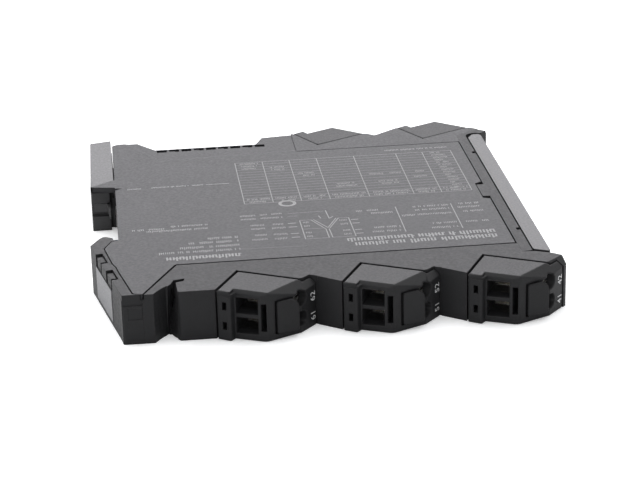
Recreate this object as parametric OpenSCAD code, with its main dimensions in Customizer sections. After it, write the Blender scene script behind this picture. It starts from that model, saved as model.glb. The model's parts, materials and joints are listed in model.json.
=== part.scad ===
// Signal converter in a slim rail-mounting housing, lying on its side as it would on a bench.
// X runs from the rail foot at the rear to the hinged cover at the front, Y along the rail side
// from the near row of terminals to the far row, and Z is the narrow width of the module.
// The origin is below the middle, on the surface that the flat side rests on.

/* [Housing] */
// Narrow width of the module, which is its thickness as it lies
module_w = 12.5; // [12.4:0.1:13.2]
// Depth from the rail foot to the front corner
module_depth = 113.6; // [113:0.2:115]
// Height from one row of terminals to the other
module_height = 119.2; // [118.4:0.2:120.4]
// Thickness of the moulded outer walls
wall = 1.5; // [1.3:0.1:1.6]
// Thickness of the floor panel and of the side cover
panel_t = 1.4; // [1.2:0.1:1.5]
// Gap that shows between neighbouring mouldings
seam = 0.3; // [0.2:0.05:0.35]

/* [Rail] */
// Width of the mounting rail over its two flanges
rail_w = 35; // [34.8:0.1:35.2]
// Gap behind each hook for a rail flange
flange_gap = 1.35; // [1.3:0.05:1.4]
// How far the rail latch slides to let the rail go
latch_travel = 3.5; // [2.5:0.1:3.6]

/* [Terminal plugs] */
// Distance from one plug to the next
plug_pitch = 29.87; // [29.8:0.01:30]
// Turn of the plugs against the sides of the housing, in degrees
plug_turn = 28; // [27.5:0.1:28.5]
// Distance between the two poles of a plug
pole_pitch = 5; // [4.9:0.05:5]
// Travel of a clamping cage
cage_travel = 2.5; // [1.5:0.1:2.5]

/* [Vents] */
// Number of vent slots in the far edge
vent_count = 9; // [5:1:9]
// Distance from one vent slot to the next
vent_pitch = 3.43; // [3.3:0.01:3.45]
// Width of the fin between two slots
fin_t = 0.65; // [0.5:0.05:0.9]

/* [Hidden] */
letters = ["a", "b", "c", "d", "e"];
pole_names = ["lower", "upper"];

// Colours as they show under soft light
case_grey = [0.20, 0.20, 0.22];
plug_black = [0.12, 0.12, 0.13];
light_grey = [0.62, 0.62, 0.64];
zinc = [0.75, 0.75, 0.72];
copper_alloy = [0.78, 0.66, 0.40];

// Main places of the housing
rear_x = -module_depth / 2;
front_x = module_depth / 2;
body_x = rear_x + 7.1;          // flat rear face that the rail lies against
mid_z = module_w / 2;
top_z = module_w - panel_t;     // underside of the side cover
frame_x = 47.1;                 // seam between side cover and front frame
bezel_x = 49.8;                 // face of the front frame under the hinged cover
foot_seam_x = -45.3;            // seam between the foot block and the housing
over = 1;                       // how far a cut runs past a face

// The plug in its own turned axes: u along its inner face, n into the housing
face_u = 11.95;                 // corner where the wire face ends
face_n = 1.4;
back_n = 12.2;                  // inner face
side_u = 16.6;                  // end of the inner face
plug_clear = 0.25;              // gap between a plug and its recess
plug_reach = face_u * sin(plug_turn) - face_n * cos(plug_turn) - 0.23;
row_y = module_height / 2 - plug_reach;
first_x = -27.97;               // corner of the first plug
chamfer_a = 40;                 // slope of the large chamfer over the outer end
chamfer_start = [11.7, 1];
chamfer_run = [15.3, 10.7];

plug_points = [
    [0.3, -0.5, 0.4], [3.75, -0.8, 0.4], [4.15, 0.95, 0], [face_u, face_n, 2.2],
    [17.6, 9.0, 0.8], [19.1, 15.0, 0.3], [17.6, 15.1, 0.3], [side_u, back_n, 0.3],
    [0, back_n, 1.8], [0, 0.3, 0.3]
];

// Clamps inside a plug
screw_n = 9.5;                  // line of the screws
cage_u = 4.5;                   // open position of a cage
cage_len = 5.8;
cage_foot_t = 0.7;              // wall that lifts the wire
cage_head_t = 1.3;              // tapped wall
cage_n = 3.8;                   // depth of a cage along the wire
cage_h = 3.8;
cage_side_t = 0.55;
bar_u = 8.2;                    // contact bar that the wire is pressed against
bar_t = 0.6;
shank_r = 1.25;
head_r = 1.7;
driver_r = 1.95;                // hole for the screwdriver
seat_u = 14.4;                  // shoulder under the screw head
chamber_end_u = cage_u + cage_len + cage_travel + 0.15;
pin_u = 5.2;                    // pins that come in from the housing
pin_t = 0.7;
header_n = back_n + plug_clear + wall;

// Circuit board
board_z = 3;
board_t = 1.6;
board_top = board_z + board_t;

// Rail latch
latch_foot_y = 27.5;            // near end of the foot inside the housing
latch_foot_end = 46.9;
latch_slot_end = latch_foot_end + latch_travel;

// Release lever of a plug
lever_pivot = [13.5, 4.85];
lever_a = 45.6;                 // direction of the lever from its pivot
lever_len = 4.9;
lever_t = 1.2;
lever_low = 1.7;
lever_high = 9.7;
lever_boss_r = 0.9;
lever_pin_r = 0.55;

// Side cover
near_groove_y = -38.4;          // seams along the decks over the terminals
far_groove_y = 39.8;
deck_x = 1.2;                   // rear end of the far deck

// Hinged front cover
hinge_x = 52.45;
hinge_y = 44;
hinge_pin_r = 0.8;
hinge_eye_r = 1.6;
flap_t = 1.3;
flap_back_x = 50.2;
flap_front_x = 54.1;

function slit_x(i) = first_x + plug_pitch * (i < 3 ? i : i - 2);
function is_far(i) = i > 2;
function pole_z(p) = mid_z + (p == 0 ? -1 : 1) * pole_pitch / 2;
function turned(p, a) = [p.x * cos(a) - p.y * sin(a), p.x * sin(a) + p.y * cos(a)];
// Point of the near row given in a plug's own axes
function plug_xy(i, p) = [slit_x(i), -row_y] + turned([p.x, p.y], -plug_turn);

function unit(v) = v / norm(v);
// Outline with each corner [x, y, radius] turned into a short arc
function rounded(points, steps = 4) = [
    for (i = [0 : len(points) - 1])
        let (
            n = len(points),
            p = [points[i].x, points[i].y],
            a = points[(i + n - 1) % n],
            b = points[(i + 1) % n],
            r = points[i].z,
            da = unit([a.x, a.y] - p),
            db = unit([b.x, b.y] - p),
            half = acos(da * db) / 2,
            centre = p + unit(da + db) * r / sin(half),
            from = p + da * r / tan(half) - centre,
            to = p + db * r / tan(half) - centre,
            start = atan2(from.y, from.x),
            sweep = atan2(from.x * to.y - from.y * to.x, from * to)
        )
        each r == 0 ? [p] : [for (k = [0 : steps])
            centre + r * [cos(start + sweep * k / steps), sin(start + sweep * k / steps)]]
];
// Anticlockwise outline moved inwards by d, with sharp corners
function inset(points, d) = [
    for (i = [0 : len(points) - 1])
        let (
            n = len(points),
            p = [points[i].x, points[i].y],
            a = points[(i + n - 1) % n],
            b = points[(i + 1) % n],
            e = unit(p - [a.x, a.y]),
            f = unit([b.x, b.y] - p),
            ne = [-e.y, e.x],
            nf = [-f.y, f.x]
        )
        p + (ne + nf) * d / (1 + ne * nf)
];

// Corner of the housing that meets the outer end of plug i
function plug_end(i) = plug_xy(i, [19.3, 15.2]);
function flipped(p) = [p.x, -p.y];

near_points = concat(
    [[foot_seam_x, -55.7], [-42.7, -55.7], [-41.4, -53.6], [-39.6, -51.4], [-38.6, -51.4],
     [-37.4, -54.5], [-36.6, -row_y]],
    [for (i = [0, 1, 2]) each [plug_xy(i, [0, 0]), plug_end(i)]],
    [[front_x, -50], [56.2, -48.2], [54.2, -46.5]]
);
far_points = [
    [-7.3, 53.9], [-9.5, 48.6], [-37.8, 48.6], [-42.6, 55.1], [body_x, 55.1]
];
shell_points = concat(
    near_points,
    [[50.4, -44.6], [frame_x, -44.2], [frame_x, 44.9], [53.2, 49.5],
     flipped(plug_end(2)), flipped(plug_xy(2, [0, 0])),
     flipped(plug_end(1)), flipped(plug_xy(1, [0, 0]))],
    far_points,
    [[body_x, -19.9], [foot_seam_x, -20.4]]
);

cover_points = concat(
    [[-45, -55.3, 0], [-36.5, near_groove_y, 0.8], [frame_x - seam, near_groove_y, 0],
     [frame_x - seam, -6.6, 0], [45, -5.6, 0], [45, 5.4, 0], [frame_x - seam, 6.4, 0],
     [frame_x - seam, far_groove_y, 0], [deck_x, far_groove_y, 0], [deck_x, 54.9, 0]],
    [for (p = far_points) [p.x, p.y, p.x == body_x ? 0.8 : 0]],
    [[body_x, 25.3, 0], [-54.6, 20.3, 0], [body_x, 19.2, 0], [body_x, -19.3, 0],
     [-51.6, -20.6, 0], [-53.3, -24.9, 0.6], [-51.5, -35.4, 0.4], [-50.7, -37.4, 0.4],
     [-50.2, -40.6, 0.4], [-47.3, -54.6, 0.8]]
);

foot_points = [
    [body_x, -19.2, 0], [-51.05, -19.2, 0.2], [-51.2, -17.9, 0.4], [-53.3, -16.5, 0.9],
    [-54.5, -17.9, 0.4], [rear_x, -22.4, 0.3], [-50, -55.6, 0.5], [foot_seam_x, -55.7, 0]
];

module near_place(i) {
    translate([slit_x(i), -row_y, 0])
        rotate([0, 0, -plug_turn])
            children();
}

// Puts a piece that is drawn in a plug's own axes at plug i
module at_plug(i) {
    if (is_far(i)) mirror([0, 1, 0]) near_place(i) children();
    else near_place(i) children();
}

// Block between two corners, given as lowest and highest point
module block(low, high) {
    translate(low) cube(high - low);
}

// Everything above the large chamfer of a plug, in the plug's own axes
module above_chamfer(top) {
    run = chamfer_run - chamfer_start;
    translate([chamfer_start.x, chamfer_start.y, top])
        rotate([0, 0, atan2(run.y, run.x)])
            rotate([chamfer_a, 0, 0])
                translate([-4, -12, 0])
                    cube([28, 12, 8]);
}

// Recess that plug i sits in, or the wall around it when grown by more than the gap
module plug_recess(grow, low, high) {
    translate([0, 0, low])
        linear_extrude(high - low)
            polygon([
                [-grow, -6], [face_u + 10, -6], [face_u + 12, 15.1 + grow], [17.6 - grow, 15.1 + grow],
                [side_u - grow, back_n + grow], [-grow, back_n + grow]
            ]);
}

// Run of vent slots: slot k starts at this place along the far edge
function vent_x(k) = -37.3 + vent_pitch * k;

module vent_slots(low, high, depth) {
    for (k = [0 : vent_count - 1])
        translate([vent_x(k), 48.6 - depth, low])
            cube([vent_pitch - fin_t, depth + over, high - low]);
}

// Room for the side cover: it lies on the walls and ends at the decks over the terminals
pocket_points = [
    [-60, -60], [-47.03, -60], [-36.3, near_groove_y - seam], [frame_x + over, near_groove_y - seam],
    [frame_x + over, far_groove_y + seam], [deck_x, far_groove_y + seam], [deck_x, 60], [-60, 60]
];

module housing_shell() {
    color(case_grey)
    difference() {
        union() {
            difference() {
                linear_extrude(module_w) polygon(shell_points);
                translate([0, 0, top_z]) linear_extrude(panel_t + over) polygon(pocket_points);
                // Space for the circuit board, kept clear of the walls around the plugs
                difference() {
                    translate([0, 0, panel_t])
                        linear_extrude(top_z - panel_t) polygon(inset(shell_points, wall));
                    for (i = [0 : 4]) at_plug(i) plug_recess(plug_clear + wall, 0, module_w);
                }
            }
            // Pillars that carry the circuit board
            for (x = [-30, 5, 38], y = [-30, 30])
                translate([x, y, panel_t / 2]) cylinder(r = 2.2, h = board_z - panel_t / 2, $fn = 24);
        }
        for (i = [0 : 4]) at_plug(i) plug_recess(plug_clear, -over, module_w + over);
        vent_slots(panel_t + 0.6, module_w, wall + 0.4);
        // Way through to the channel of the front frame
        block([frame_x - wall - over, -42.4, panel_t], [frame_x + over, 42.2, top_z]);
        // Holes for the pins of the headers
        for (i = [0 : 4], p = [0, 1])
            at_plug(i) block([pin_u - 0.5, back_n, pole_z(p) - 0.5],
                             [pin_u + 0.5, header_n + 0.5, pole_z(p) + 0.5]);
        // Slot in the rear wall for the foot of the latch
        block([body_x - over, latch_foot_y - 0.5, 3.6], [body_x + wall + over, latch_slot_end, 9]);
        // Release slot beside the notch in the near edge
        translate([-37.2, -50.4, 3])
            rotate([0, 0, 28]) cube([1.1, 4.4, module_w]);
        // Large chamfer over the near front corner
        at_plug(2) above_chamfer(module_w);
    }
}

module side_cover() {
    ramp_y = 40.6;
    color(case_grey)
    difference() {
        translate([0, 0, top_z])
            linear_extrude(panel_t) polygon(rounded(cover_points));
        // Openings of the vent slots in the edge, every second one with a shallow step
        for (k = [0 : vent_count - 1]) {
            step = (k % 2) * 0.55;
            x = vent_x(k);
            translate([x + (vent_pitch - fin_t) * step, 46.5, top_z - over])
                cube([(vent_pitch - fin_t) * (1 - step), 4, panel_t + 2 * over]);
            translate([x, 46.8, module_w - 0.9])
                cube([vent_pitch - fin_t, 4, 2]);
        }
        // Ramp towards the vents, cut off by a slanted step at its rear end
        intersection() {
            translate([-9, ramp_y, module_w]) rotate([-3, 0, 0]) translate([-34, 0, 0])
                cube([34, 12, 3]);
            translate([0, 0, 10])
                linear_extrude(5) polygon([[-43.8, 53.4], [-36.6, 39.6], [-9, 39.6], [-9, 56], [-43, 56]]);
        }
        // Bevel along the rear edge
        translate([body_x + 1.5, -3, module_w]) rotate([0, -8, 0]) translate([-4, 0, 0])
            cube([4, 54, 2]);
    }
}

module front_frame() {
    shoulder = [[frame_x, 44.9], [frame_x, 43], [bezel_x, 43], [50.6, 44.9], [54.6, 46.6],
                [56.2, 48.2], [front_x, 50], flipped(plug_end(2)), [53.2, 49.5]];
    color(case_grey)
    difference() {
        union() {
            // Channel behind the hinged cover
            difference() {
                linear_extrude(module_w)
                    polygon([[frame_x, -44.2], [bezel_x, -43.9], [bezel_x, 43], [frame_x, 43]]);
                block([frame_x - over, -42.4, panel_t], [bezel_x - wall, 42.2, top_z]);
            }
            linear_extrude(module_w) polygon(shoulder);
            // Catch that laps under the side cover
            block([45.2, -4.6, top_z], [frame_x + over, 4.4, module_w]);
            // Knuckle of the hinge
            translate([hinge_x, hinge_y, 1.8]) cylinder(r = hinge_eye_r, h = module_w - 3.6, $fn = 48);
            block([bezel_x - over, hinge_y - 1, 1.8], [hinge_x, hinge_y + 0.9, module_w - 1.8]);
            translate([hinge_x, hinge_y, 0.6]) cylinder(r = hinge_pin_r, h = module_w - 1.2, $fn = 32);
            // Rail that the catch of the hinged cover snaps over
            block([bezel_x - 0.5, -40.8, 4], [bezel_x + 1.3, -39.4, module_w - 4]);
        }
        // Window of the light pipe
        translate([bezel_x - 4, 31, mid_z]) rotate([0, 90, 0]) cylinder(r = 1.25, h = 8, $fn = 32);
        // Finger notches beside the hinged cover
        for (y = [-29.9, 29.4])
            block([bezel_x - 0.9, y, module_w - 1], [bezel_x + over, y + 1.5, module_w + over]);
        mirror([0, 1, 0]) near_place(2) above_chamfer(module_w);
        // Room for the round ends of the hinged cover
        for (z = [-over, module_w - 1.8])
            translate([hinge_x, hinge_y, z]) difference() {
                cylinder(r = 2.75, h = 1.8 + over, $fn = 48);
                translate([0, 0, -over]) cylinder(r = hinge_pin_r, h = 6, $fn = 32);
            }
    }
}

module front_flap() {
    side = [
        [flap_back_x, -43.1, 0.8], [flap_front_x, -45.1, 0.4], [flap_front_x, hinge_y + 0.8, 0.6],
        [hinge_x + 0.8, hinge_y + 1.6, 0.5], [hinge_x - 0.7, hinge_y + 1.5, 0.4],
        [flap_back_x, 43, 0.5]
    ];
    front_end = hinge_y - 1.95;
    color(light_grey)
    difference() {
        linear_extrude(module_w) polygon(rounded(side));
        // Channel between the two cheeks and behind the front
        block([flap_back_x - over, -42.9, flap_t], [flap_front_x - flap_t, 60, module_w - flap_t]);
        // Gap in which the knuckle of the hinge stands
        block([flap_back_x - over, front_end, flap_t], [flap_front_x + over, 60, module_w - flap_t]);
        translate([hinge_x, hinge_y, 0.45])
            cylinder(r = hinge_pin_r + 0.05, h = module_w - 0.9, $fn = 32);
    }
}

module foot_block() {
    color(case_grey)
    difference() {
        union() {
            linear_extrude(module_w) polygon(concat(
                rounded(foot_points),
                [[foot_seam_x, -55.5], [-47.6, -54.85], [-50.5, -40.7], [-51, -37.5], [-51.8, -35.5],
                 [-53.6, -24.9], [-51.8, -20.4]]
            ));
            // Lower part that reaches in under the side cover
            linear_extrude(top_z) polygon([
                [-50.2, -55.4], [foot_seam_x, -55.7], [foot_seam_x, -20.6], [body_x, -19.9],
                [-52, -20], [-54.4, -25]
            ]);
        }
        // Groove that the insert sits in, on the slanted rear face
        in_slope() block([6, -over, 1.1], [22.9, 1.2, 9.7]);
        // Notches in the edge for the two fingers of the insert
        in_slope() for (s = [6.1, 17.2])
            block([s, -over, 9.6], [s + 6.4, 1.7, module_w + over]);
        // Step and shallow panel on the near face
        block([-52, -57, 9.7], [foot_seam_x + over, -55.4, module_w + over]);
        block([-48.8, -57, 6.2], [foot_seam_x + over, -55.5, 9.2]);
        // Hollow of the moulding, closed by the side cover
        translate([0, 0, panel_t]) linear_extrude(top_z - panel_t + 0.01)
            polygon([[-47.8, -53.6], [foot_seam_x - 1.2, -54], [foot_seam_x - 1.2, -23], [-49, -23]]);
    }
}

// Axes along the slanted rear face of the foot: x down the slope, y inwards
module in_slope() {
    translate([rear_x, -22.4, 0])
        rotate([0, 0, atan2(-33.2, 6.8)])
            children();
}

module foot_insert() {
    color(light_grey)
    in_slope() {
        block([6.2, -0.15, 1.3], [22.7, 1.1, 9.5]);
        for (s = [7.2, 18.3]) {
            block([s, 0.15, 9.4], [s + 3.6, 1.1, 12.1]);
            block([s, 0.15, 11.3], [s + 3.6, 1.5, 12.1]);
        }
    }
}

module rail_latch() {
    reach = [body_x - flange_gap, rail_w - 20.1];
    // Plan of the latch, with the ramp that rides over the rail flange
    plan = [[-56.2, 20.1, 0.3], [reach.x - 0.3, reach.y + 0.1, 0.3], [reach.x, reach.y, 0],
            [reach.x, 18.4, 0], [-50.15, 19.6, 0], [-50.15, 58.9, 0.3], [-55.8, 57.4, 0.5]];
    color(light_grey)
    difference() {
        union() {
            translate([0, 0, 0.1]) linear_extrude(module_w - 0.2) polygon(rounded(plan));
            // Foot that runs in the slot of the rear wall
            block([-51, latch_foot_y + 0.5, 4], [-47.9, latch_foot_end - 0.4, 8.6]);
            block([-47.9, latch_foot_y, 2.6], [-46.4, latch_foot_end, 10]);
        }
        // Room for the ear of the side cover, with a slanted end
        translate([0, 0, top_z - 0.25]) linear_extrude(4) polygon([
            [-57.4, 19.3], [-56.4, 20.25], [-54.7, 20.5], [-49, 26], [-49, 10], [-57.4, 10]
        ]);
        // Recess between the two ramps
        translate([0, 0, 4]) linear_extrude(4) polygon([
            [-57, 19.6], [-55.6, 20.6], [-50.6, 16.6], [-50.6, 10], [-57, 10]
        ]);
        // Hole for a screwdriver in the outer end
        block([-54.3, 53.4, -over], [-51.9, 56.2, module_w + over]);
    }
}

// Flat meander spring that pulls the latch back behind the rail flange
module latch_spring() {
    bends = 6;
    start = [-46.6, 8.2];
    end_y = latch_foot_y - 0.6;
    swing = 3.4;
    wire = 0.6;
    blade = 2.4;
    step = (end_y - start.y) / (2 * bends);
    color(zinc)
    translate([start.x, start.y, 5]) {
        for (k = [0 : 2 * bends])
            block([0, k * step, 0], [swing, k * step + wire, blade]);
        for (k = [0 : 2 * bends - 1])
            translate([k % 2 == 0 ? swing - wire : 0, k * step, 0])
                cube([wire, step + wire, blade]);
    }
}

module circuit_board() {
    color([0.10, 0.30, 0.16])
    difference() {
        translate([0, 0, board_z]) linear_extrude(board_t) polygon([
            [-42, -37], [-20, -37], [-20, -39.5], [44, -39.5], [44, 39.5], [0, 39.5], [-5, 44],
            [-40, 44], [-42, 42]
        ]);
        for (x = [-30, 5, 38], y = [-30, 30])
            translate([x, y, 2]) cylinder(r = 1, h = 4, $fn = 24);
    }
}

module transformer() {
    color([0.16, 0.15, 0.14]) {
        block([-12, -9, board_top], [6, 9, board_top + 6]);
        for (y = [-11, 9]) block([-8, y, board_top], [2, y + 2, board_top + 4.4]);
    }
}

module capacitors() {
    color([0.16, 0.20, 0.34])
    for (y = [-24, -16, 22])
        translate([-34, y, board_top + 2.9]) rotate([0, 90, 0]) cylinder(r = 2.9, h = 11, $fn = 32);
}

module chips() {
    color([0.08, 0.08, 0.09])
    for (at = [[14, 12], [14, -14], [28, 16], [28, -4], [28, -22], [-32, 4]])
        block([at.x, at.y, board_top], [at.x + 7, at.y + 9, board_top + 2]);
}

module status_led() {
    color([0.55, 0.80, 0.50]) {
        block([40.5, 29.8, board_top], [43, 32.2, mid_z - 0.9]);
        block([40.5, 29.8, mid_z - 0.9], [43, 32.2, mid_z + 0.9]);
    }
}

// Clear rod that carries the light of the diode to the front
module light_pipe() {
    color([0.85, 0.90, 0.88])
    translate([43, 31, mid_z]) rotate([0, 90, 0]) {
        cylinder(r = 1.2, h = 8.2, $fn = 32);
        translate([0, 0, 3.9]) cylinder(r = 1.7, h = 1, $fn = 32);
    }
}

// Plug connectors at the edge of the board, one behind each plug
module pin_headers() {
    for (i = [0 : 4]) at_plug(i) {
        color(plug_black)
            block([pin_u - 2, header_n, 1.7], [pin_u + 2, header_n + 1.9, 10.8]);
        color(zinc)
            for (p = [0, 1])
                block([pin_u - pin_t / 2, 11.7, pole_z(p) - pin_t / 2],
                      [pin_u + pin_t / 2, header_n + 1, pole_z(p) + pin_t / 2]);
    }
}

// Mouth of a wire hole, drawn along u: it narrows from the face to the cage
module wire_funnel() {
    rotate([90, 0, 90])
        linear_extrude(5.5) polygon([
            [-over, -2.05], [1.3, -2.05], [3.1, -1.45], [7.5, -1.45],
            [7.5, 1.45], [3.1, 1.45], [1.3, 2.0], [-over, 2.0]
        ]);
}

module plug_body(i) {
    base = 0.15;
    top = module_w - 0.1;
    color(plug_black)
    at_plug(i)
    difference() {
        translate([0, 0, base]) linear_extrude(top - base) polygon(rounded(plug_points));
        above_chamfer(top);
        for (p = [0, 1]) translate([0, 0, pole_z(p)]) {
            translate([4.4, 0, 0]) wire_funnel();
            // Chamber of the cage, and the slot in the back for the contact
            block([cage_u - 0.2, 7.4, -2.05], [chamber_end_u, 11.6, 2.05]);
            block([pin_u - 0.8, 11, -1.25], [bar_u + bar_t + 0.1, back_n + over, 1.25]);
            translate([0, screw_n, 0]) rotate([0, 90, 0]) {
                cylinder(r = shank_r + 0.1, h = 18, $fn = 32);
                translate([0, 0, seat_u]) cylinder(r = driver_r, h = 8, $fn = 40);
            }
            // Test hole
            block([1.6, -3, -1], [2.7, 3.5, 1]);
        }
        // Deep slot beside the wire holes
        block([10.6, -1, 2.6], [11.9, 6, 9.6]);
        // Set-back rim above the wire face
        block([4.2, -1, module_w - 1.5], [10.4, 1.35, module_w + over]);
        block([0, -2, module_w - 1.3], [4.2, -0.35, module_w + over]);
        // Room for the release lever
        at_lever() {
            translate([0, 0, lever_low - 0.25])
                cylinder(r = lever_boss_r + 0.25, h = lever_high - lever_low + 0.5, $fn = 40);
            block([-1.2, -3, lever_low - 0.25], [lever_len + 3, 0.05, lever_high + 0.25]);
            translate([0, 0, lever_low - 0.85])
                cylinder(r = lever_pin_r + 0.05, h = lever_high - lever_low + 1.7, $fn = 32);
        }
    }
}

// Axes of a release lever: x along the lever, y inwards
module at_lever() {
    translate([lever_pivot.x, lever_pivot.y, 0])
        rotate([0, 0, lever_a])
            children();
}

module plug_lever(i) {
    tall = lever_high - lever_low;
    color(plug_black)
    at_plug(i) at_lever() {
        difference() {
            union() {
                translate([0, -0.15, lever_low]) rotate([90, 0, 0])
                    linear_extrude(lever_t) polygon(rounded([
                        [-0.6, 0, 0.3], [lever_len, 0, 0.5], [lever_len, tall, 2], [-0.6, tall, 0.3]
                    ], 6));
                translate([0, 0, lever_low]) cylinder(r = lever_boss_r, h = tall, $fn = 40);
            }
            // Grip ridges are left standing between three shallow grooves
            for (k = [0 : 2])
                translate([lever_len - 1 - 0.7 * k, -lever_t - 0.15, lever_low + 1.2])
                    cylinder(r = 0.16, h = tall - 3, $fn = 16);
        }
        translate([0, 0, lever_low - 0.7]) cylinder(r = lever_pin_r, h = tall + 1.4, $fn = 32);
    }
}

module plug_contacts(i) {
    color(copper_alloy)
    at_plug(i)
    for (p = [0, 1]) translate([0, 0, pole_z(p)]) {
        block([bar_u, 7.6, -1.15], [bar_u + bar_t, 12.1, 1.15]);
        // Lug that leads to the pin of the header
        difference() {
            block([pin_u - 0.7, 11.65, -1.15], [bar_u + 0.1, 12.1, 1.15]);
            block([pin_u - pin_t / 2, 11, -pin_t / 2], [pin_u + pin_t / 2, 13, pin_t / 2]);
        }
    }
}

module clamp_screw(i, p) {
    color(zinc)
    at_plug(i) translate([0, screw_n, pole_z(p)]) rotate([0, 90, 0])
    difference() {
        union() {
            translate([0, 0, bar_u + bar_t + 0.12])
                cylinder(r = shank_r, h = seat_u - bar_u - bar_t, $fn = 32);
            translate([0, 0, seat_u + 0.05]) cylinder(r = head_r, h = 1.6, $fn = 40);
        }
        translate([-0.3, -head_r - over, seat_u + 0.95]) cube([0.6, 2 * (head_r + over), 2]);
    }
}

// Rising cage: the wire goes through it along n, and the screw draws it along u
module clamp_cage(i, p) {
    color(zinc)
    at_plug(i) translate([cage_u, screw_n, pole_z(p)])
    difference() {
        block([0, -cage_n / 2, -cage_h / 2], [cage_len, cage_n / 2, cage_h / 2]);
        block([cage_foot_t, -cage_n, cage_side_t - cage_h / 2],
              [cage_len - cage_head_t, cage_n, cage_h / 2 - cage_side_t]);
        rotate([0, 90, 0]) translate([0, 0, 2])
            cylinder(r = shank_r + 0.06, h = cage_len, $fn = 32);
    }
}

housing_shell();
side_cover();
front_frame();
front_flap();
foot_block();
foot_insert();
rail_latch();
latch_spring();
circuit_board();
transformer();
capacitors();
chips();
status_led();
light_pipe();
pin_headers();
for (i = [0 : 4]) {
    plug_body(i);
    plug_lever(i);
    plug_contacts(i);
    for (p = [0, 1]) {
        clamp_screw(i, p);
        clamp_cage(i, p);
    }
}
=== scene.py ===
import json
import math
import random

import bmesh
import bpy
from mathutils import Euler, Matrix, Vector


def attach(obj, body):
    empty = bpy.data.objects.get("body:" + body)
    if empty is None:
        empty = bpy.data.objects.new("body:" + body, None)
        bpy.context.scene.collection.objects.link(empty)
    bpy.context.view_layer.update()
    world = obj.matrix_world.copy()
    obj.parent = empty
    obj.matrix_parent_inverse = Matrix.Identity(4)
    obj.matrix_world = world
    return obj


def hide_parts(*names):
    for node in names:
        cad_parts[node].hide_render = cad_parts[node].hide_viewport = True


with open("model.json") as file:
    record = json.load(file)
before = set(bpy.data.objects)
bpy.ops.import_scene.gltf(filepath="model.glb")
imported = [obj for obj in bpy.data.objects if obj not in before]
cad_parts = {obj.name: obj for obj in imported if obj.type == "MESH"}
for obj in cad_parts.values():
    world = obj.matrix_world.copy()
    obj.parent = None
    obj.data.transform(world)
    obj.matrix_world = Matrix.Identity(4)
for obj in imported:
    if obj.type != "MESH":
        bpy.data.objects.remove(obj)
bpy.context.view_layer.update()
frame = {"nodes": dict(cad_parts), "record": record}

nodes = frame["nodes"]
MM = 0.001

# Places taken over from the part's source, in mm
WIDTH = 12.5
HALF_HEIGHT = 59.6
BODY_X = -49.7
COVER_LOW = 11.1
LETTERS = "abcde"
NEAR_PLUGS = 3
FIRST_X, PITCH = -27.97, 29.87
PLUG_TURN = math.radians(28)
FACE_U, FACE_N = 11.95, 1.4
BACK_N = 12.2
SIDE_U = 16.6
CORNER_ROUNDING = 0.23
PLUG_REACH = FACE_U * math.sin(PLUG_TURN) - FACE_N * math.cos(PLUG_TURN) - CORNER_ROUNDING
ROW_Y = HALF_HEIGHT - PLUG_REACH
LEVER_PIVOT = (13.5, 4.85, 0)
LEVER_TURN = math.radians(45.6)
LEVER_LOW, LEVER_HIGH = 1.7, 9.7
POLE = 2.5
POLE_MID = 5.6


def plug_frame(i):
    """Matrix from a plug's own axes (u along its inner face, n into the housing, z), in mm."""
    far = i >= NEAR_PLUGS
    x = FIRST_X + PITCH * (i - NEAR_PLUGS + 1 if far else i)
    m = Matrix.Translation((x, -ROW_Y, 0)) @ Matrix.Rotation(-PLUG_TURN, 4, "Z")
    return Matrix.Diagonal((1, -1, 1, 1)) @ m if far else m


def add_object(name, data):
    obj = bpy.data.objects.new(name, data)
    bpy.context.scene.collection.objects.link(obj)
    return obj


def evaluated_mesh(obj):
    """Mesh of an object with its modifier or its text carried out."""
    bpy.context.view_layer.update()
    return bpy.data.meshes.new_from_object(
        obj.evaluated_get(bpy.context.evaluated_depsgraph_get()))


# Materials: scales of textures are per metre, depths and edge radii in metres
USUAL = (0.3, 0.7)  # range that a noise mostly stays in
FLOW_SCALE = 45
WEAR_SCALE = 700
SLIGHT_DEPTH, CLEAR_DEPTH = 0.00001, 0.00003
SMALL_RADIUS, MIDDLE_RADIUS, WIDE_RADIUS = 0.0001, 0.0002, 0.0003
BEVEL_SAMPLES = 4


class Nodes:
    """Short way to write a node tree."""

    def __init__(self, owner, output):
        owner.use_nodes = True
        self.tree = owner.node_tree
        self.tree.nodes.clear()
        self.out = self.add(output)

    def add(self, kind, props=None, **sockets):
        node = self.tree.nodes.new("ShaderNode" + kind)
        for key, value in (props or {}).items():
            setattr(node, key, value)
        for key, value in sockets.items():
            self.set(node, key, value)
        return node

    def set(self, node, key, value):
        """Links or sets a socket; its key is a name with _ for spaces, or _ and its number."""
        key = int(key[1:]) if key[0] == "_" else key.replace("_", " ")
        socket = node.inputs[key]
        if isinstance(value, bpy.types.NodeSocket):
            self.tree.links.new(value, socket)
        else:
            socket.default_value = value

    def maths(self, operation, a, b):
        return self.add("Math", {"operation": operation}, _0=a, _1=b).outputs[0]


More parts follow.
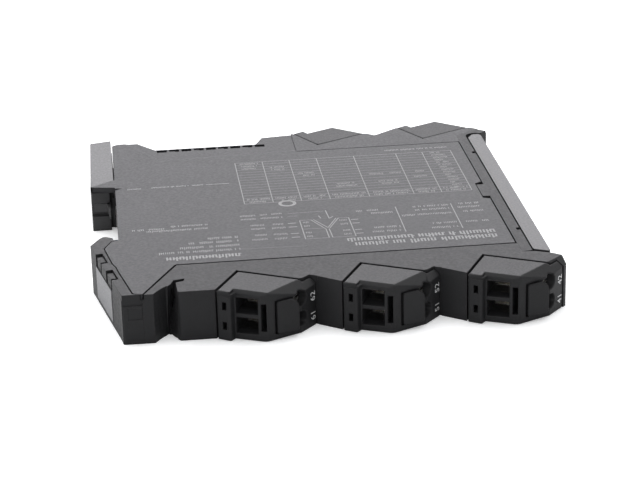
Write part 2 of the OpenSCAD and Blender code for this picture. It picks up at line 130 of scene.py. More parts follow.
class Surface(Nodes):
    """Node tree of a new material, with textures placed by the object's coordinates."""

    def __init__(self, name):
        self.material = bpy.data.materials.new(name)
        super().__init__(self.material, "OutputMaterial")
        self.where = self.add("TexCoord").outputs["Object"]

    def noise(self, scale, detail=3.0, rough=0.55, where=None):
        return self.add("TexNoise", Vector=where or self.where, Scale=scale, Detail=detail,
                        Roughness=rough).outputs["Fac"]

    def wave(self, direction, scale, distortion):
        return self.add("TexWave", {"bands_direction": direction}, Vector=self.where, Scale=scale,
                        Distortion=distortion).outputs["Fac"]

    def span(self, value, given, wanted):
        """The value carried over from one range to another."""
        return self.add("MapRange", _0=value, _1=given[0], _2=given[1], _3=wanted[0],
                        _4=wanted[1]).outputs[0]

    def mix(self, factor, a, b):
        return self.add("Mix", {"data_type": "RGBA"}, _0=factor, _6=a, _7=b).outputs[2]

    def bevel(self, radius):
        return self.add("Bevel", {"samples": BEVEL_SAMPLES}, Radius=radius).outputs["Normal"]

    def edge(self, soft):
        """0 on flat faces, rising to 1 at rounded edges."""
        true = self.add("NewGeometry").outputs["True Normal"]
        dot = self.add("VectorMath", {"operation": "DOT_PRODUCT"}, _0=soft, _1=true)
        return self.span(dot.outputs["Value"], (0.998, 0.86), (0.0, 1.0))

    def bump(self, height, strength, distance=SLIGHT_DEPTH, normal=None):
        node = self.add("Bump", Height=height, Strength=strength, Distance=distance)
        if normal is not None:
            self.set(node, "Normal", normal)
        return node.outputs["Normal"]

    def principled(self, **sockets):
        shader = self.add("BsdfPrincipled", **sockets)
        self.set(self.out, "Surface", shader.outputs[0])
        return self.material


def grey(value, tint=0.0):
    return (value, value, value * (1 + tint), 1)


def moulding(name, shade, tint, rough, grain, depth, radius=0.00022, level=0.5, edge_lift=1.7):
    """Injection-moulded plastic: eroded grain, soft edges, uneven shade, paler rubbed edges."""
    t = Surface(name)
    soft = t.bevel(radius)
    fine = t.noise(grain, detail=4, rough=0.65)
    flow = t.noise(FLOW_SCALE)
    speck = t.noise(grain * 0.6, detail=2)
    base = t.mix(t.span(flow, USUAL, (0, 1)), grey(shade * 0.9, tint), grey(shade * 1.1, tint))
    base = t.mix(t.span(speck, (0.55, 0.75), (0, 0.35)), base, grey(shade * 1.6, tint))
    wear = t.span(t.noise(WEAR_SCALE), (0.35, 0.65), (0.25, 0.9))
    base = t.mix(t.maths("MULTIPLY", t.edge(soft), wear), base, grey(shade * edge_lift, tint))
    return t.principled(
        Base_Color=base,
        Roughness=t.span(t.noise(grain * 0.3), USUAL, (rough - 0.06, rough + 0.08)),
        Specular_IOR_Level=level,
        Normal=t.bump(fine, strength=0.5, distance=depth, normal=soft))


def plated(name, colour, rough, streak_axis=0):
    """Plated or bare metal with drawn streaks along one axis and darker patches."""
    t = Surface(name)
    across, along = 2500, 300
    stretch = [across, across, across]
    stretch[streak_axis] = along
    drawn = t.add("Mapping", Vector=t.where, Scale=stretch).outputs[0]
    streaks = t.noise(1.0, where=drawn)
    patch = t.noise(500, detail=4)
    darker = tuple(c * 0.82 for c in colour[:3]) + (1,)
    return t.principled(
        Base_Color=t.mix(t.span(patch, (0.35, 0.7), (0, 1)), colour, darker),
        Metallic=1.0,
        Roughness=t.span(streaks, USUAL, (rough - 0.06, rough + 0.1)),
        Normal=t.bump(streaks, strength=0.25, normal=t.bevel(SMALL_RADIUS)))


def ink(name, shade):
    """Screen-printed ink with small pinholes, on a grained surface."""
    t = Surface(name)
    holes = t.noise(3500)
    return t.principled(
        Base_Color=t.mix(t.span(holes, (0.36, 0.46), (1, 0)), grey(shade), grey(shade * 0.45)),
        Roughness=t.span(holes, USUAL, (0.5, 0.65)),
        Specular_IOR_Level=0.4,
        Normal=t.bump(t.noise(6000), strength=0.4))


def board_material():
    t = Surface("solder_resist")
    dark_green, mid_green = (0.012, 0.07, 0.03, 1), (0.014, 0.085, 0.035, 1)
    track_green, solder = (0.03, 0.16, 0.07, 1), (0.55, 0.52, 0.45, 1)
    tracks = t.add("TexBrick", {"offset": 0.35, "offset_frequency": 3}, Vector=t.where,
                   Scale=260.0, Mortar_Size=0.03, Color1=dark_green, Color2=mid_green,
                   Mortar=track_green)
    pads = t.add("TexVoronoi", Vector=t.where, Scale=420.0).outputs["Distance"]
    return t.principled(
        Base_Color=t.mix(t.span(pads, (0.12, 0.16), (0.85, 0)), tracks.outputs["Color"], solder),
        Roughness=t.span(t.noise(300, detail=2), USUAL, (0.28, 0.4)),
        Normal=t.bump(tracks.outputs["Fac"], strength=0.4, distance=CLEAR_DEPTH))


def clear_material():
    t = Surface("clear_moulding")
    return t.principled(
        Base_Color=(0.93, 0.96, 0.95, 1), IOR=1.49, Transmission_Weight=1.0,
        Roughness=t.span(t.noise(900), USUAL, (0.06, 0.16)),
        Normal=t.bump(t.noise(2500, detail=2), strength=0.2, normal=t.bevel(SMALL_RADIUS)))


def sleeve_material():
    t = Surface("can_sleeve")
    blue, silver = (0.02, 0.028, 0.08, 1), (0.55, 0.57, 0.6, 1)
    bands = t.wave("Y", scale=55.0, distortion=0.0)
    return t.principled(
        Base_Color=t.mix(t.span(bands, (0.85, 0.9), (0, 1)), blue, silver),
        Roughness=t.span(t.noise(800, detail=2), USUAL, (0.25, 0.4)),
        Normal=t.bump(t.noise(1500, detail=2), strength=0.2, normal=t.bevel(MIDDLE_RADIUS)))


def wound_material():
    t = Surface("core_and_tape")
    ferrite, tape = (0.035, 0.03, 0.028, 1), (0.09, 0.075, 0.05, 1)
    turns = t.wave("X", scale=900.0, distortion=0.4)
    return t.principled(
        Base_Color=t.mix(t.noise(350), ferrite, tape),
        Roughness=t.span(turns, (0, 1), (0.4, 0.6)),
        Normal=t.bump(turns, strength=0.3, distance=CLEAR_DEPTH, normal=t.bevel(WIDE_RADIUS)))


# Each plastic has its shade, tint, roughness, grain scale and grain depth
case = moulding("case_plastic", 0.017, 0.06, 0.50, 5200, 0.000030, level=0.17)
cover = moulding("cover_plastic", 0.021, 0.10, 0.48, 4600, 0.000036, radius=0.00024, level=0.22)
plug = moulding("plug_plastic", 0.014, 0.06, 0.46, 6500, 0.000020, radius=0.0005, level=0.18)
pale = moulding("satin_plastic", 0.026, 0.05, 0.40, 5600, 0.000016, level=0.38, edge_lift=1.4)
# The insert is the satin plastic painted five times paler: a painted reflection, for the light
# its slanted face reflects
insert = moulding("insert_plastic_painted_reflection", 0.13, 0.05, 0.40, 5600, 0.000016, level=0.38, edge_lift=1.2)
print_ink = ink("print_ink", 0.21)
white_ink = ink("white_ink", 0.72)

materials = {
    "case": case,
    "plug": plug,
    "light_plastic": pale,
    "plated_steel": plated("zinc_plating", (0.66, 0.65, 0.62, 1), 0.30),
    "spring_steel": plated("spring_strip", (0.50, 0.50, 0.50, 1), 0.34),
    "contact": plated("tinned_contact", (0.62, 0.58, 0.50, 1), 0.36, streak_axis=2),
    "board": board_material(),
    "core": wound_material(),
    "can": sleeve_material(),
    "chip": moulding("chip_package", 0.012, 0.0, 0.55, 7000, SLIGHT_DEPTH, SMALL_RADIUS),
    "diode": moulding("diode_resin", 0.30, -0.3, 0.30, 3000, SLIGHT_DEPTH, MIDDLE_RADIUS),
    "clear_rod": clear_material(),
    "header": moulding("header_plastic", 0.012, 0.0, 0.45, 6000, SLIGHT_DEPTH, SMALL_RADIUS),
}
own_material = {"side_cover": cover, "foot_insert": insert}
for part in frame["record"]["subparts"]:
    mesh = nodes[part["node"]].data
    mesh.materials.clear()
    mesh.materials.append(own_material.get(part["node"], materials[part["material_slot"]]))


# Solid pieces that take the place of plainer shapes of the CAD model
OVER = 1  # how far a cut runs past a face, in mm
WELD = 0.001 * MM


def rounded(corners, steps=4):
    """Outline in which each corner (x, y, radius) becomes a short arc."""
    outline = []
    for k, (x, y, r) in enumerate(corners):
        p = Vector((x, y))
        if not r:
            outline.append(p)
            continue
        a = Vector(corners[k - 1][:2]) - p
        b = Vector(corners[(k + 1) % len(corners)][:2]) - p
        half = a.angle(b) / 2
        a.normalize()
        b.normalize()
        middle = p + (a + b).normalized() * r / math.sin(half)
        start = p + a * r / math.tan(half) - middle
        sweep = start.angle_signed(p + b * r / math.tan(half) - middle)
        for j in range(steps + 1):
            outline.append(middle + Matrix.Rotation(-sweep * j / steps, 2) @ start)
    return outline


def circle(radius, steps=28):
    return [(radius * math.cos(math.tau * k / steps), radius * math.sin(math.tau * k / steps))
            for k in range(steps)]


def slanted(low_outline, low, high_outline, high):
    """Closed solid between two anticlockwise outlines in mm, with as many corners in each."""
    n = len(low_outline)
    points = [(x, y, low) for x, y in low_outline] + [(x, y, high) for x, y in high_outline]
    faces = [list(range(n))[::-1], list(range(n, 2 * n))]
    faces += [[k, (k + 1) % n, n + (k + 1) % n, n + k] for k in range(n)]
    return points, faces


def prism(outline, low, high):
    """Closed solid over an anticlockwise outline in mm."""
    return slanted(outline, low, outline, high)


def lying_prism(outline, near, far):
    """Closed solid over an anticlockwise outline in x and z, which runs along y."""
    points, faces = prism(outline, far, near)
    return [(x, y, z) for x, z, y in points], faces


def block(low, high):
    corners = [(low[0], low[1]), (high[0], low[1]), (high[0], high[1]), (low[0], high[1])]
    return prism(corners, low[2], high[2])


def edge_cut(a, b, size, top):
    """Solid that takes off the upper edge along a line, with the inside on its left."""
    past_ends, outside, inside, above = 0.4, 2, 0.01, 0.5
    a, b = Vector(a), Vector(b)
    along = (b - a).normalized()
    inwards = Vector((-along.y, along.x))
    a, b = a - along * past_ends, b + along * past_ends
    outer = [a - inwards * outside, b - inwards * outside]
    low_inner = [b + inwards * inside, a + inwards * inside]
    high_inner = [b + inwards * (size + above), a + inwards * (size + above)]
    return slanted(outer + low_inner, top - size, outer + high_inner, top + above)


def placed(solid, matrix):
    """The solid moved by a matrix in mm, with its faces turned round again when mirrored."""
    points, faces = solid
    if matrix.determinant() < 0:
        faces = [face[::-1] for face in faces]
    return [tuple(matrix @ Vector(p)) for p in points], faces


def as_object(name, solids):
    mesh = bpy.data.meshes.new(name)
    points, faces = [], []
    for more_points, more_faces in solids:
        faces += [[k + len(points) for k in face] for face in more_faces]
        points += [tuple(c * MM for c in p) for p in more_points]
    mesh.from_pydata(points, [], faces)
    mesh.update()
    return add_object(name, mesh)


def copy_of(node, name):
    """Copy of a CAD node with its faces joined, to be shaped further."""
    mesh = nodes[node].data.copy()
    joined = bmesh.new()
    joined.from_mesh(mesh)
    bmesh.ops.remove_doubles(joined, verts=joined.verts, dist=WELD)
    joined.to_mesh(mesh)
    joined.free()
    return add_object(name, mesh)


def shaped(obj, steps, material, body, node):
    """A piece in place of a CAD node: obj, joined with solids or cut by them."""
    for operation, solids in steps:
        tool = as_object("tool", solids)
        change = obj.modifiers.new("step", "BOOLEAN")
        change.operation, change.solver, change.object = operation, "EXACT", tool
        mesh = evaluated_mesh(obj)
        obj.modifiers.clear()
        obj.data = mesh
        bpy.data.objects.remove(tool)
    obj.data.name = obj.name
    obj.data.materials.clear()
    obj.data.materials.append(material)
    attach(obj, body)
    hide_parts(node)
    return obj


def paint(mesh, material, chosen):
    """Gives a second material to the faces that are chosen."""
    mesh.materials.append(material)
    for face in mesh.polygons:
        if chosen(face):
            face.material_index = 1


# Side cover with nine vents, a slanted step down to them and a bevelled rear edge
cover_outline = rounded([
    (-45.2, -55.3, 0), (-36.7, -38.15, 0.8), (46.75, -38.15, 0), (46.75, -6.6, 0),
    (45, -5.6, 0), (45, 5.4, 0), (46.8, 6.4, 0), (46.8, 39.8, 0), (1.2, 39.8, 0),
    (1.2, 54.9, 0), (-7.3, 53.9, 0), (-9.5, 48.6, 0), (-37.8, 48.6, 0), (-42.6, 55.1, 0),
    (BODY_X, 55.1, 0.8), (BODY_X, 25.45, 0), (-55.7, 20.75, 0), (-55.6, 20.35, 0),
    (BODY_X, 19.2, 0), (BODY_X, -19.3, 0), (-51.6, -20.6, 0), (-53.3, -24.9, 0.6),
    (-51.5, -35.4, 0.4), (-50.7, -37.4, 0.4), (-50.2, -40.6, 0.4), (-47.3, -54.6, 0.8)])
edge_lip = block((-35.5, -39.4, 10.4), (46, -37.5, COVER_LOW + 0.2))
step_low = [(-46, 57.2), (-36.5, 39.5), (-10, 41.3), (2, 41.6), (2, 60), (-46, 60)]
step_high = [(-48.7, 57.2), (-37.85, 37), (-10, 38.9), (2, 39.2), (2, 60), (-48.7, 60)]
STEP_HALF = 0.17
VENTS = 9
FIRST_VENT_X, VENT_PITCH, VENT_WIDE = -37.3, 3.43, 2.78
COVERED_SHARE = 0.55  # of the width of every second slot
SLOT_Y, SHELF_Y = (46.3, 48.2), (46.7, 48.15)
SHELF_WIDE, SHELF_DEPTH = VENT_WIDE - 0.1, 0.9
slots, shelves = [], []
for k in range(VENTS):
    x = FIRST_VENT_X + VENT_PITCH * k
    slots.append(block((x + VENT_WIDE * COVERED_SHARE * (k % 2), SLOT_Y[0], COVER_LOW - OVER),
                       (x + VENT_WIDE, SLOT_Y[1], WIDTH + OVER)))
    shelves.append(block((x, SHELF_Y[0], WIDTH - SHELF_DEPTH),
                         (x + SHELF_WIDE, SHELF_Y[1], WIDTH + OVER)))
BEVEL_X, BEVEL_RUN = -47.8, 3.2
BEVEL_SLOPE = math.tan(math.radians(10))
edge_bevel = [(BEVEL_X, WIDTH), (BEVEL_X, WIDTH + OVER), (BEVEL_X - BEVEL_RUN, WIDTH + OVER),
              (BEVEL_X - BEVEL_RUN, WIDTH - BEVEL_RUN * BEVEL_SLOPE)]
shaped(as_object("cover_with_vents", [prism(cover_outline, COVER_LOW, WIDTH)]), [
    ("UNION", [edge_lip]),
    ("DIFFERENCE", [slanted(step_low, WIDTH - STEP_HALF, step_high, WIDTH + STEP_HALF)]),
    ("DIFFERENCE", slots),
    ("DIFFERENCE", shelves),
    ("DIFFERENCE", [lying_prism(edge_bevel, -18.8, 18.4), lying_prism(edge_bevel, 26.2, 56)]),
], cover, "housing", "side_cover")

# Rail latch with a plain top, a rib beside the body, a foot inside it and a thin nose
latch_outline = rounded([
    (-56.2, 20.3, 0.3), (-51.1, 20.3, 0.2), (-51.1, 22.3, 0), (-50, 22.3, 0), (-50, 58.9, 0.3),
    (-55.8, 57.4, 0.5)])
rib = block((-50.4, 21, 0.5), (-49.8, 58.3, 9))
neck = block((-51, 28, 4), (-47.9, 46.5, 8.6))
foot = block((-48.1, 27.5, 2.6), (-46.4, 46.9, 10))
lower_near_end = prism([(-57.03, 10), (-48.83, 10), (-48.83, 26.45), (-57.03, 20.02)], 10.85, 14)
gap_round_nose = block((-57, 10, 4.1), (-50.6, 21.5, 7.9))
far_pocket = block((-54.6, 55.4, 4), (-51.6, 60, 8.5))
nose = prism([(-55.4, 21.7), (-55.4, 21), (-52, 20.5), (-51.35, 14.9), (-51.05, 14.9),
              (-51.05, 21.7)], 5.2, 7.7)
shaped(as_object("latch_plain", [prism(latch_outline, 0.1, 12.4)]), [
    ("UNION", [rib]),
    ("UNION", [neck]),
    ("UNION", [foot]),
    ("DIFFERENCE", [lower_near_end]),
    ("DIFFERENCE", [gap_round_nose]),
    ("DIFFERENCE", [far_pocket]),
    ("UNION", [nose]),
], pale, "rail_latch", "rail_latch")

# Housing with its slanted notch in the near edge, the release slot beside it in place of the
# CAD model's, and straight walls between the plugs
STRAIGHT_AFTER = (0, 1, 3)
straight_wall = [(19.5, 15.17), (24.3, 14.37), (24.3, 16.5), (19.5, 16.5)]
old_slot = [(-37.1, -50.6), (-35.9, -50), (-38.2, -45.6), (-39.6, -46.3)]
notch_low = [(-43.3, -57), (-36.9, -57), (-37.35, -54.3), (-39.5, -51.2)]
notch_high = [(-43, -57), (-36.8, -57), (-36.9, -54.95), (-37.15, -48.6)]
release_slot = [(-38.3, -50.1), (-35.2, -48.8), (-34.9, -47.4), (-37.6, -48.1)]
shell = shaped(copy_of("housing_shell", "shell_with_notch"), [
    ("UNION", [placed(prism(straight_wall, 0, WIDTH), plug_frame(i)) for i in STRAIGHT_AFTER]),
    ("UNION", [prism(old_slot, 2.8, WIDTH)]),
    ("DIFFERENCE", [slanted(notch_low, -OVER, notch_high, WIDTH + OVER)]),
    ("DIFFERENCE", [prism(release_slot, 3, WIDTH + OVER)]),
], case, "housing", "housing_shell")
# Painted light: the upward faces of the far deck take the paler cover plastic, standing in for
# the brighter light that falls on the far part of the housing
UPWARDS = 0.9
DECK_Z, FAR_DECK_Y = 12.4 * MM, 38 * MM
paint(shell.data, cover, lambda face: (
    face.normal.z > UPWARDS and face.center.z > DECK_Z and face.center.y > FAR_DECK_Y))

# Plugs with softer upper edges, and their levers without grip ridges, on their bosses and pins
soft_edges = [((0.1, -0.5), (3.9, -0.8), 0.5), ((3.9, 1.33), (11.9, 1.36), 0.7),
              ((0, BACK_N), (0, 0.3), 0.5), ((SIDE_U, BACK_N), (0, BACK_N), 0.4)]
PLUG_TOP = WIDTH - 0.1
LEVER_FACES = (-1.35, -0.25)
BOSS_RADIUS, PIN_RADIUS = 0.9, 0.55
PIN_LOW, PIN_HIGH = 1, 10.4
lever_slab = rounded([(-0.7, LEVER_LOW, 0.3), (4.9, LEVER_LOW, 0.6), (4.9, LEVER_HIGH, 2),
                      (-0.7, LEVER_HIGH, 0.4)])
for i, letter in enumerate(LETTERS):
    m = plug_frame(i)
    shaped(copy_of("plug_body_" + letter, "plug_soft_" + letter), [
        ("DIFFERENCE", [placed(edge_cut(a, b, size, PLUG_TOP), m)]) for a, b, size in soft_edges
    ], plug, "housing", "plug_body_" + letter)
    m = m @ Matrix.Translation(LEVER_PIVOT) @ Matrix.Rotation(LEVER_TURN, 4, "Z")
    slab = placed(lying_prism(lever_slab, *LEVER_FACES), m)
    shaped(as_object("lever_plain_" + letter, [slab]), [
        ("UNION", [placed(prism(circle(BOSS_RADIUS), LEVER_LOW, LEVER_HIGH), m)]),
        ("UNION", [placed(prism(circle(PIN_RADIUS), PIN_LOW, PIN_HIGH), m)]),
    ], plug, "lever_" + letter, "plug_lever_" + letter)

# The two fingers of the insert are as dark as the foot
FINGER_Z = 9.45 * MM
paint(nodes["foot_insert"].data, case, lambda face: face.center.z > FINGER_Z)


# Flat print
class Sheet:
    """Flat shapes in one mesh, drawn in mm and placed by a matrix."""

    # Small print, in shares of its height, and the chances in it
    SPACE, ADVANCE, TALL = 0.5, 0.42, 1.3
    TALL_CHANCE, TIE_CHANCE = 0.2, 0.6
    TIE_LEVELS = (0.0, 0.4, 0.8)

    def __init__(self):
        self.points, self.faces = [], []

    def polygon(self, corners):
        start = len(self.points)
        self.points += [(x, y, 0.0) for x, y in corners]
        self.faces.append(list(range(start, start + len(corners))))

    def bar(self, x0, y0, x1, y1):
        self.polygon([(x0, y0), (x1, y0), (x1, y1), (x0, y1)])

    def line(self, a, b, width):
        a, b = Vector(a), Vector(b)
        side = (b - a).normalized().orthogonal() * width / 2
        self.polygon([tuple(p) for p in (a - side, b - side, b + side, a + side)][::-1])

    def lines(self, pairs, width):
        for a, b in pairs:
            self.line(a, b, width)

    def ring(self, centre, rx, ry, width, steps=48):
        for k in range(steps):
            quad = []
            for j, d in ((k, 0), (k + 1, 0), (k + 1, width), (k, width)):
                a = math.tau * j / steps
                quad.append((centre[0] + (rx - d) * math.cos(a),
                             centre[1] + (ry - d) * math.sin(a)))
            self.polygon(quad)

    def words(self, x0, x1, y, size, seed, gaps=0.14, weight=0.17):
        """A row of upright strokes with short ties, which reads as small print from afar.

        gaps is the chance of a space, and weight the width of a stroke against its height.
        """
        rng = random.Random(seed)
        stroke = size * weight
        x = x0
        while x < x1 - stroke:
            if rng.random() < gaps:
                x += size * self.SPACE
                continue
            rise = size * (self.TALL if rng.random() < self.TALL_CHANCE else 1.0)
            self.bar(x, y - rise, x + stroke, y)
            if rng.random() < self.TIE_CHANCE:
                level = y - size * rng.choice(self.TIE_LEVELS)
                self.bar(x + stroke, level - stroke, min(x + size * self.ADVANCE, x1), level)
            x += size * self.ADVANCE

    def paragraph(self, rows, size, seed, gaps=0.14):
        """Rows of small print, each with its ends and its base line."""
        for k, (x0, x1, y) in enumerate(rows):
            self.words(x0, x1, y, size, seed + k, gaps)

    def make(self, name, place, material, body):
        mesh = bpy.data.meshes.new(name)
        mesh.from_pydata([tuple((place @ Vector(p)) * MM) for p in self.points], [], self.faces)
        mesh.materials.append(material)
        mesh.update()
        obj = add_object(name, mesh)
        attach(obj, body)


# Table with its rules and the words in its fields
COLUMN_RULE, OUTER_RULE, INNER_RULE = 0.22, 0.18, 0.12
side = Sheet()
columns = [-16.6, -9.1, -1.7, 5.85, 16.2, 27.95, 35.3, 43.3]
rows = [0.5 + 2.03 * k for k in range(17)]
for x in columns:
    side.line((x, rows[0]), (x, rows[-1]), COLUMN_RULE)
for y in rows:
    side.line((columns[0], y), (columns[-1], y),
              OUTER_RULE if y in (rows[0], rows[-1]) else INNER_RULE)
for k, (x0, x1) in enumerate(zip(columns, columns[1:])):
    side.words(x0 + 0.9, x1 - 0.7, 4.0, size=0.95, seed=10 + k)
    side.words(x0 + 1.4, x1 - 1.4, 2.1, size=0.95, seed=30 + k)
side.paragraph([
    (-15.3, -10.4, 32.3), (-15.0, -10.8, 30.3), (-15.1, -11.2, 28.3), (-7.4, -3.2, 28.3),
    (-7.2, -3.6, 26.3), (-0.4, 4.2, 22.2), (0.4, 3.9, 20.2), (8.2, 14.2, 10.2),
    (9.0, 13.8, 12.2), (20.2, 25.2, 12.2), (20.8, 25.6, 10.2), (18.4, 22.4, 18.1),
    (23.6, 27.1, 18.1), (30.1, 33.6, 14.2), (31.0, 33.4, 18.2)],
    size=0.85, seed=60, gaps=0.1)
side.paragraph([
    (37.4 + 0.12 * k, 40.9 + (0.7 if k % 3 else -0.8), rows[16 - k] - 0.55)
    for k in range(15)], size=0.8, seed=90, gaps=0.05)
side.words(25.4, 42.8, 36.6, size=0.95, seed=130)
side.ring((-5.6, -0.9), rx=2.35, ry=2.3, width=0.85)

# Rows of small print, each with its own size, to the left of the table and below that
side.line((-25.6, 17.2), (-19.4, 17.1), width=0.3)
side.words(-46.4, -42.8, 17.5, size=0.8, seed=140, gaps=0)
side.words(-40.0, -26.2, 17.7, size=0.8, seed=141, gaps=0.1)
side.paragraph([(-46.2, -36.8, -13.2), (-36.4, -27.0, -12.0), (-42.6, -27.2, -14.6)],
               size=1.05, seed=142)
side.paragraph([(-27.7, -20.2, -21.8), (-32.6, -20.2, -24.4), (-34.9, -20.2, -27.3),
                (-40.2, -20.2, -30.0)], size=1.2, seed=150)
side.words(-38.6, -19.8, -33.4, size=1.9, seed=156, gaps=0.06, weight=0.24)
side.line((-20.4, -30.9), (-3.9, -31.5), width=0.09)

# Rows beside the plain circuit sketch, and the marks at its terminals
side.paragraph([
    (-18.5, -14.5, -7.8), (-13.4, -7.8, -7.6), (-18.5, -14.5, -10.3), (-13.4, -7.7, -10.2),
    (-16.4, -12.9, -14.9), (-11.2, -8.0, -15.0), (-16.4, -12.9, -17.4), (-11.2, -7.8, -17.6),
    (-15.9, -12.6, -21.8), (-11.2, -7.8, -22.0), (-16.8, -12.9, -24.8), (-11.2, -7.9, -25.0)],
    size=0.95, seed=160, gaps=0.05)
for y in (-15.5, -18.1, -22.7, -25.3):
    side.line((-7.0, y), (-4.9, y), width=0.4)
    side.line((9.2, y), (11.0, y), width=0.4)
    side.words(-3.1, -1.4, y + 0.5, size=0.95, seed=int(190 - y), gaps=0)
    side.words(6.2, 8.0, y + 0.5, size=0.95, seed=int(240 - y), gaps=0)

# Sketch: two boxes of terminals with a transformer of double lines between them
side.lines([
    ((-3.8, -13.9), (-3.7, -27.0)), ((8.7, -13.9), (8.9, -27.0)), ((-1.0, -13.8), (2.1, -21.0)),
    ((-0.3, -13.8), (2.7, -20.1)), ((5.5, -13.7), (2.7, -20.1)), ((6.1, -13.8), (3.1, -20.5)),
    ((2.1, -21.0), (2.2, -27.0)), ((2.9, -20.9), (3.1, -27.0)), ((3.5, -7.8), (3.8, -13.7)),
    ((1.3, -11.3), (1.7, -13.3)), ((3.8, -13.7), (4.9, -12.4))], width=0.26)
side.lines([
    ((-3.9, -14.0), (-0.9, -13.9)), ((-3.8, -20.2), (1.9, -20.2)), ((-3.7, -27.0), (2.1, -27.0)),
    ((3.1, -27.0), (8.9, -27.0)), ((6.1, -13.8), (8.7, -13.9)), ((-6.2, -8.5), (3.0, -8.2)),
    ((-6.6, -10.5), (-4.1, -10.5))], width=0.14)

# Columns to the right of the sketch, and the two larger rows at the bottom
side.lines([((x, -8.4), (x, -26.3)) for x in (21.55, 35.95)], width=0.24)
side.paragraph([
    (11.2, 17.3, -9.2), (14.8, 20.4, -11.4), (14.2, 20.8, -21.6), (13.4, 20.8, -24.4),
    (26.0, 35.4, -8.7), (26.2, 35.4, -11.1), (22.3, 35.2, -14.4), (29.1, 35.4, -21.2),
    (28.4, 35.3, -24.2), (37.4, 43.2, -8.3), (37.3, 43.2, -10.9), (38.2, 43.5, -14.0),
    (37.6, 43.4, -21.3)], size=1.05, seed=260)
side.words(6.4, 43.5, -28.2, size=2.0, seed=290, gaps=0.07, weight=0.22)
side.words(8.0, 43.4, -31.4, size=2.0, seed=291, gaps=0.07, weight=0.22)
PRINT_Z = WIDTH + 0.012
side.make("side_print", Matrix.Translation((0, 0, PRINT_Z)), print_ink, "housing")


# Terminal numbers, from plug a to plug e
LABELS = [("61", "62"), ("51", "52"), ("41", "42"), ("21", "22"), ("11", "12")]
DIGIT_HEIGHT = 1.8
DIGIT_LIFT = 0.015
FONT_HEIGHT = 0.70  # of a digit in the built-in font at size 1
UP_THE_FACET = 0.80  # share of the plug's end facet
facet_ends = Vector((17.6, 9.0, 0)), Vector((19.1, 15.0, 0))


def number(text, name, centre, along, up, height, body):
    """Digits in mm, centred on a face: along is the reading direction."""
    curve = bpy.data.curves.new(name, "FONT")
    curve.body = text
    curve.size = 1.0
    curve.align_x, curve.align_y = "CENTER", "CENTER"
    curve.resolution_u = 3
    obj = add_object(name, curve)
    mesh = evaluated_mesh(obj)
    bpy.data.objects.remove(obj)
    mesh.name = name
    along, up = Vector(along).normalized(), Vector(up).normalized()
    out = along.cross(up)
    turn = Matrix((along, up, out)).transposed().to_4x4()
    size = height / FONT_HEIGHT * MM
    lifted = (Vector(centre) + out * DIGIT_LIFT) * MM
    mesh.transform(Matrix.Translation(lifted) @ turn @ Matrix.Diagonal((size, size, size, 1)))
    mesh.materials.clear()
    mesh.materials.append(white_ink)
    piece = add_object(name, mesh)
    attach(piece, body)


for i, (letter, (lower, upper)) in enumerate(zip(LETTERS, LABELS)):
    a, b = (plug_frame(i) @ end for end in facet_ends)
    slope = (b - a).normalized()
    for pole, text, z in (("lower", lower, -POLE - 0.2), ("upper", upper, POLE - 0.3)):
        centre = a.lerp(b, UP_THE_FACET)
        centre.z = POLE_MID + z
        number(text, f"digits_{letter}_{pole}", centre, (0, 0, 1),
               slope if i >= NEAR_PLUGS else -slope, DIGIT_HEIGHT, "housing")


# Surroundings
SKY_STRENGTH = 0.42
FLOOR_LIFT = 0.30


def make_world():
    """Even light on what scatters it, and plain white for what looks at it."""
    world = bpy.data.worlds.new("studio")
    bpy.context.scene.world = world
    t = Nodes(world, "OutputWorld")
    rays = t.add("LightPath").outputs
    mirrored = t.maths("MAXIMUM", rays["Is Glossy Ray"], rays["Is Transmission Ray"])
    looks = t.maths("MAXIMUM", rays["Is Camera Ray"], mirrored)
    lit = t.add("Background", Color=(0.95, 0.97, 1.0, 1), Strength=SKY_STRENGTH)
    seen = t.add("Background", Color=(1, 1, 1, 1), Strength=1.0)
    both = t.add("MixShader", _0=looks, _1=lit.outputs[0], _2=seen.outputs[0])
    t.set(t.out, "Surface", both.outputs[0])


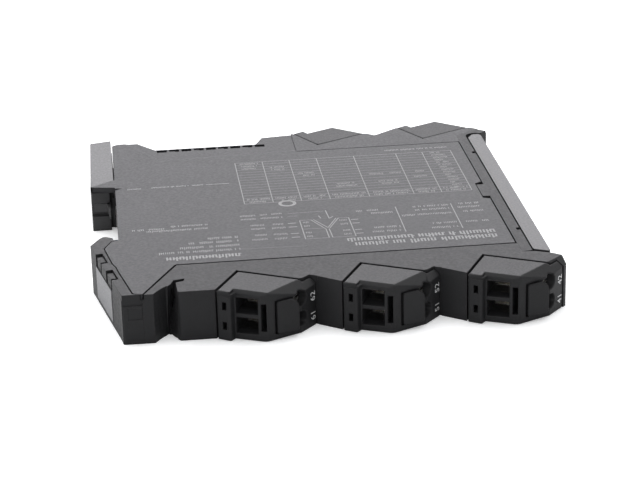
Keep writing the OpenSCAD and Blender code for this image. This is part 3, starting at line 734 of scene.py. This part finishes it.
def make_floor():
    """White ground, slightly lifted where the camera sees it."""
    size = 4.0
    mesh = bpy.data.meshes.new("floor")
    mesh.from_pydata([(-size, -size, 0), (size, -size, 0), (size, size, 0), (-size, size, 0)],
                     [], [(0, 1, 2, 3)])
    t = Surface("floor_white")
    shade = t.span(t.noise(3, detail=2), USUAL, (0.90, 0.93))
    colour = t.add("CombineColor", _0=shade, _1=shade, _2=shade).outputs[0]
    diffuse = t.add("BsdfDiffuse", Color=colour)
    seen = t.add("LightPath").outputs["Is Camera Ray"]
    lift = t.add("Emission", Color=(1, 1, 1, 1), Strength=t.maths("MULTIPLY", seen, FLOOR_LIFT))
    both = t.add("AddShader", _0=diffuse.outputs[0], _1=lift.outputs[0])
    t.set(t.out, "Surface", both.outputs[0])
    mesh.materials.append(t.material)
    obj = add_object("floor", mesh)


def make_lamp(name, place, target, size, power, colour=(1, 1, 1)):
    light = bpy.data.lights.new(name, "AREA")
    light.shape = "RECTANGLE"
    light.size, light.size_y = size
    light.energy = power
    light.color = colour
    obj = add_object(name, light)
    obj.location = place
    obj.rotation_euler = (Vector(target) - Vector(place)).to_track_quat("-Z", "Y").to_euler()
    obj.visible_camera = False


make_world()
make_floor()
make_lamp("overhead", (0.05, 0.15, 0.75), (0, 0, 0), size=(0.9, 0.7), power=6.0)
make_lamp("back", (0.05, 0.38, 0.20), (0, 0, 0.01), size=(0.7, 0.2), power=1.3,
          colour=(0.97, 0.95, 1))
make_lamp("left", (-0.75, 0.2, 0.30), (0, 0, 0), size=(0.6, 0.4), power=3.0)
make_lamp("front_fill", (-0.45, -0.9, 0.5), (0, 0, 0), size=(0.5, 0.5), power=1.2)

# Camera, fitted to the photo's edges
camera_data = bpy.data.cameras.new("photo_camera")
camera_data.sensor_width = 36
camera_data.lens = 115.27
camera = add_object("photo_camera", camera_data)
camera.location = (-0.051469, -0.497369, 0.197655)
camera.rotation_euler = Euler([math.radians(a) for a in (68.5719, 1.3121, -6.7411)], "XYZ")
bpy.context.scene.camera = camera
bpy.context.scene.view_settings.view_transform = "Standard"

bpy.context.view_layer.update()
